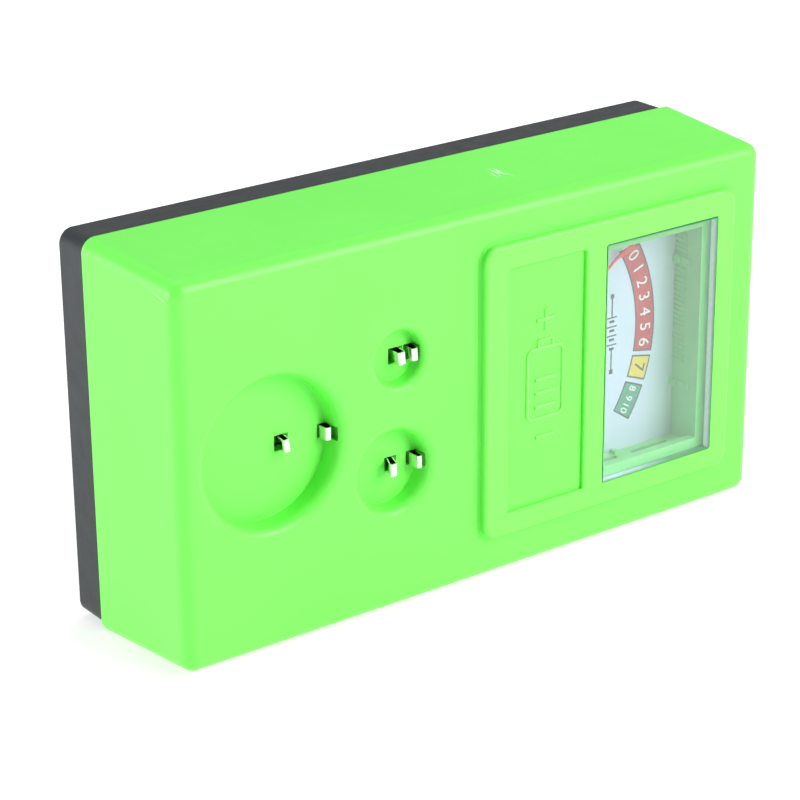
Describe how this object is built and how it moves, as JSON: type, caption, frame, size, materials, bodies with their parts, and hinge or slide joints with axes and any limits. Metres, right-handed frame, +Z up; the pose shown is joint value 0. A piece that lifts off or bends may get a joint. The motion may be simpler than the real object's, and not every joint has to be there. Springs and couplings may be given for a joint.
{
  "type": "battery tester",
  "caption": "Handheld battery tester for button cells: a flat moulded case with round test wells, spring contacts and a moving-coil meter behind a clear window.",
  "frame": {"origin": "bottom centre of the whole object's box as it stands on its long side", "axes": "+X along the length from the wells towards the meter end, -Y out of the front face, +Y out of the rear cover, +Z up"},
  "size_m": [0.11, 0.0298, 0.0607],
  "materials": {
    "green_plastic": "satin",
    "grey_plastic": "satin",
    "black_plastic": "matte",
    "clear_acrylic": "gloss",
    "nickel_strip": "polished",
    "printed_dial": "satin",
    "bright_steel": "satin",
    "dark_steel": "satin",
    "soft_iron": "matte",
    "brass": "satin",
    "aluminium": "satin",
    "copper_wire": "satin",
    "bronze_ribbon": "satin",
    "red_paint": "satin",
    "board_laminate": "satin",
    "resistor_ceramic": "satin",
    "blue_plastic": "satin",
    "black_sleeve": "satin",
    "red_sleeve": "satin"
  },
  "bodies": {
    "case": {"front_shell": "green_plastic", "rear_cover": "grey_plastic", "case_screws": "dark_steel", "window_pane": "clear_acrylic", "contact_tabs": "nickel_strip", "dial_plate": "printed_dial", "dial_screws": "bright_steel", "pointer_stops": "bright_steel", "movement_frame": "black_plastic", "frame_screws": "bright_steel", "yoke_ring": "soft_iron", "core_magnet": "soft_iron", "core_supports": "brass", "front_bridge": "brass", "bridge_posts": "brass", "bridge_screws": "brass", "front_jewel_screw": "brass", "rear_jewel_screw": "brass", "front_hairspring": "bronze_ribbon", "rear_hairspring": "bronze_ribbon", "zero_adjust_arm": "brass", "terminal_studs": "brass", "terminal_nuts": "brass", "solder_lugs": "nickel_strip", "circuit_board": "board_laminate", "board_screws": "bright_steel", "load_resistors": "resistor_ceramic", "calibration_trimmer": "blue_plastic", "contact_leads": "black_sleeve", "meter_leads": "red_sleeve"},
    "pointer_assembly": {"coil_former": "aluminium", "moving_coil": "copper_wire", "pivot_staffs": "bright_steel", "pointer": "red_paint", "balance_weights": "brass"},
    "large_centre_contact": {"large_centre_contact": "nickel_strip"},
    "large_side_contact": {"large_side_contact": "nickel_strip"},
    "medium_centre_contact": {"medium_centre_contact": "nickel_strip"},
    "medium_side_contact": {"medium_side_contact": "nickel_strip"},
    "small_centre_contact": {"small_centre_contact": "nickel_strip"},
    "small_side_contact": {"small_side_contact": "nickel_strip"}
  },
  "joints": [
    {"name": "pointer_swing", "type": "hinge", "parent": "case", "child": "pointer_assembly", "pos_m": [0.0102, -0.00665, 0.03225], "axis": [0, 1, 0], "range_deg": [0, 70], "stiffness_Nm_per_rad": 0.0002},
    {"name": "large_centre_press", "type": "hinge", "parent": "case", "child": "large_centre_contact", "pos_m": [-0.04639, -0.0082, 0.02952], "axis": [-0.1392, 0, 0.9903], "range_deg": [0, 5.9], "stiffness_Nm_per_rad": 0.12},
    {"name": "large_side_press", "type": "hinge", "parent": "case", "child": "large_side_contact", "pos_m": [-0.0152, -0.0082, 0.03115], "axis": [0, 0, -1], "range_deg": [0, 3.7], "stiffness_Nm_per_rad": 0.12},
    {"name": "medium_centre_press", "type": "hinge", "parent": "case", "child": "medium_centre_contact", "pos_m": [-0.0295, -0.0082, 0.0231], "axis": [0, 0, 1], "range_deg": [0, 4.6], "stiffness_Nm_per_rad": 0.12},
    {"name": "medium_side_press", "type": "hinge", "parent": "case", "child": "medium_side_contact", "pos_m": [-0.0035, -0.0082, 0.0231], "axis": [0, 0, -1], "range_deg": [0, 5], "stiffness_Nm_per_rad": 0.12},
    {"name": "small_centre_press", "type": "hinge", "parent": "case", "child": "small_centre_contact", "pos_m": [-0.02793, -0.0082, 0.03879], "axis": [-0.1045, 0, 0.9945], "range_deg": [0, 4.1], "stiffness_Nm_per_rad": 0.12},
    {"name": "small_side_press", "type": "hinge", "parent": "case", "child": "small_side_contact", "pos_m": [-0.00402, -0.0082, 0.04073], "axis": [0.0698, 0, -0.9976], "range_deg": [0, 4.8], "stiffness_Nm_per_rad": 0.12}
  ]
}
